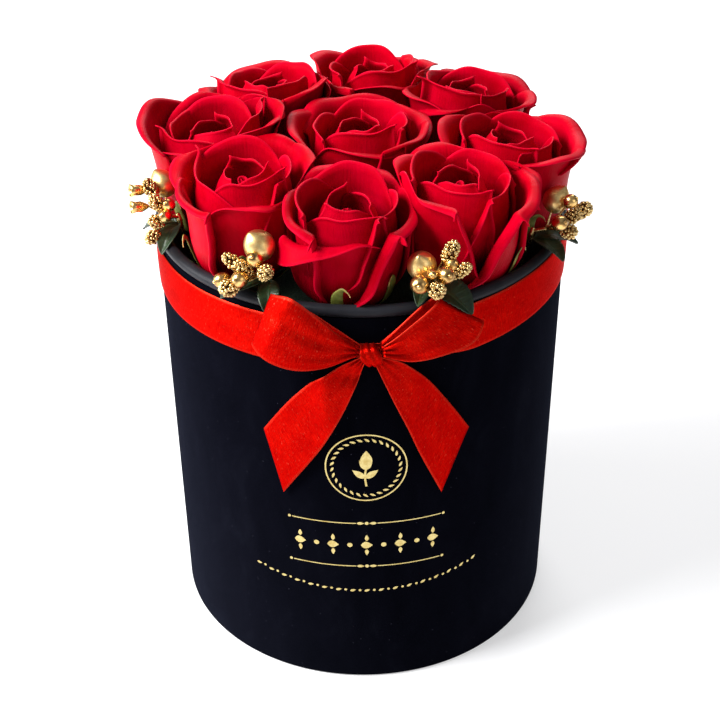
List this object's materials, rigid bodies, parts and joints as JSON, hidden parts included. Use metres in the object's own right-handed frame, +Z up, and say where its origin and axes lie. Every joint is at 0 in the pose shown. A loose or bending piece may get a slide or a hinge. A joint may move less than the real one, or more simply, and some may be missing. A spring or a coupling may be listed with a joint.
{
  "type": "flower box with soap roses",
  "caption": "Round velvet-covered flower box packed with soap roses and gold berry picks, with a satin ribbon round the rim tied in a bow.",
  "frame": {"origin": "centre of the flat base, on the surface the box stands on", "axes": "+Z up along the box axis, -Y towards the bow at the front, +X to the right of someone facing the bow"},
  "size_m": [0.1741, 0.1768, 0.213],
  "materials": {
    "carton": "matte black paper lining",
    "velvet": "short-pile velvet with a gold foil print",
    "rolled_rim": "satin black rolled edge",
    "foam": "matte dry floral foam",
    "satin": "satin weave",
    "soap_petal": "matte soap flake",
    "calyx": "matte",
    "stem": "matte",
    "leaf": "waxed leaf cloth",
    "gold": "gold paint"
  },
  "bodies": {
    "box": {"tube_wall": "carton", "velvet_wrap": "velvet", "rim_bead": "rolled_rim", "base_disc": "carton", "foam_block": "foam", "ribbon_band": "satin", "bow_loop_left": "satin", "bow_loop_right": "satin", "bow_knot": "satin", "bow_tail_left": "satin", "bow_tail_right": "satin"},
    "rose_front": {"rose_front_petals": "soap_petal", "rose_front_bud": "soap_petal", "rose_front_calyx": "calyx", "rose_front_stem": "stem"},
    "rose_front_right": {"rose_front_right_petals": "soap_petal", "rose_front_right_bud": "soap_petal", "rose_front_right_calyx": "calyx", "rose_front_right_stem": "stem"},
    "rose_right": {"rose_right_petals": "soap_petal", "rose_right_bud": "soap_petal", "rose_right_calyx": "calyx", "rose_right_stem": "stem"},
    "rose_back_right": {"rose_back_right_petals": "soap_petal", "rose_back_right_bud": "soap_petal", "rose_back_right_calyx": "calyx", "rose_back_right_stem": "stem"},
    "rose_back": {"rose_back_petals": "soap_petal", "rose_back_bud": "soap_petal", "rose_back_calyx": "calyx", "rose_back_stem": "stem"},
    "rose_back_left": {"rose_back_left_petals": "soap_petal", "rose_back_left_bud": "soap_petal", "rose_back_left_calyx": "calyx", "rose_back_left_stem": "stem"},
    "rose_left": {"rose_left_petals": "soap_petal", "rose_left_bud": "soap_petal", "rose_left_calyx": "calyx", "rose_left_stem": "stem"},
    "rose_front_left": {"rose_front_left_petals": "soap_petal", "rose_front_left_bud": "soap_petal", "rose_front_left_calyx": "calyx", "rose_front_left_stem": "stem"},
    "rose_centre": {"rose_centre_petals": "soap_petal", "rose_centre_bud": "soap_petal", "rose_centre_calyx": "calyx", "rose_centre_stem": "stem"},
    "pick_left": {"pick_left_cluster": "gold", "pick_left_leaf": "leaf"},
    "pick_front_left": {"pick_front_left_cluster": "gold", "pick_front_left_leaf": "leaf"},
    "pick_front_right": {"pick_front_right_cluster": "gold", "pick_front_right_leaf": "leaf"},
    "pick_right": {"pick_right_cluster": "gold", "pick_right_leaf": "leaf"},
    "pick_back_right": {"pick_back_right_cluster": "gold", "pick_back_right_leaf": "leaf"},
    "pick_back_left": {"pick_back_left_cluster": "gold", "pick_back_left_leaf": "leaf"}
  },
  "joints": [
    {"name": "rose_front_lift", "type": "slide", "parent": "box", "child": "rose_front", "axis": [-0.0121, -0.1386, 0.9903], "range_m": [0, 0.125]},
    {"name": "rose_front_right_lift", "type": "slide", "parent": "box", "child": "rose_front_right", "axis": [0.0876, -0.1082, 0.9903], "range_m": [0, 0.125]},
    {"name": "rose_right_lift", "type": "slide", "parent": "box", "child": "rose_right", "axis": [0.1378, -0.0194, 0.9903], "range_m": [0, 0.125]},
    {"name": "rose_back_right_lift", "type": "slide", "parent": "box", "child": "rose_back_right", "axis": [0.1066, 0.0895, 0.9903], "range_m": [0, 0.125]},
    {"name": "rose_back_lift", "type": "slide", "parent": "box", "child": "rose_back", "axis": [0.0121, 0.1386, 0.9903], "range_m": [0, 0.125]},
    {"name": "rose_back_left_lift", "type": "slide", "parent": "box", "child": "rose_back_left", "axis": [-0.0913, 0.105, 0.9903], "range_m": [0, 0.125]},
    {"name": "rose_left_lift", "type": "slide", "parent": "box", "child": "rose_left", "axis": [-0.139, 0.0073, 0.9903], "range_m": [0, 0.125]},
    {"name": "rose_front_left_lift", "type": "slide", "parent": "box", "child": "rose_front_left", "axis": [-0.105, -0.0913, 0.9903], "range_m": [0, 0.125]},
    {"name": "rose_centre_lift", "type": "slide", "parent": "box", "child": "rose_centre", "axis": [0, 0, 1], "range_m": [0, 0.125]},
    {"name": "pick_left_lift", "type": "slide", "parent": "box", "child": "pick_left", "axis": [-0.1661, -0.0508, 0.9848], "range_m": [0, 0.11]},
    {"name": "pick_front_left_lift", "type": "slide", "parent": "box", "child": "pick_front_left", "axis": [-0.0788, -0.1547, 0.9848], "range_m": [0, 0.11]},
    {"name": "pick_front_right_lift", "type": "slide", "parent": "box", "child": "pick_front_right", "axis": [0.0537, -0.1651, 0.9848], "range_m": [0, 0.11]},
    {"name": "pick_right_lift", "type": "slide", "parent": "box", "child": "pick_right", "axis": [0.1519, -0.0842, 0.9848], "range_m": [0, 0.11]},
    {"name": "pick_back_right_lift", "type": "slide", "parent": "box", "child": "pick_back_right", "axis": [0.0788, 0.1547, 0.9848], "range_m": [0, 0.11]},
    {"name": "pick_back_left_lift", "type": "slide", "parent": "box", "child": "pick_back_left", "axis": [-0.0565, 0.1642, 0.9848], "range_m": [0, 0.11]}
  ]
}
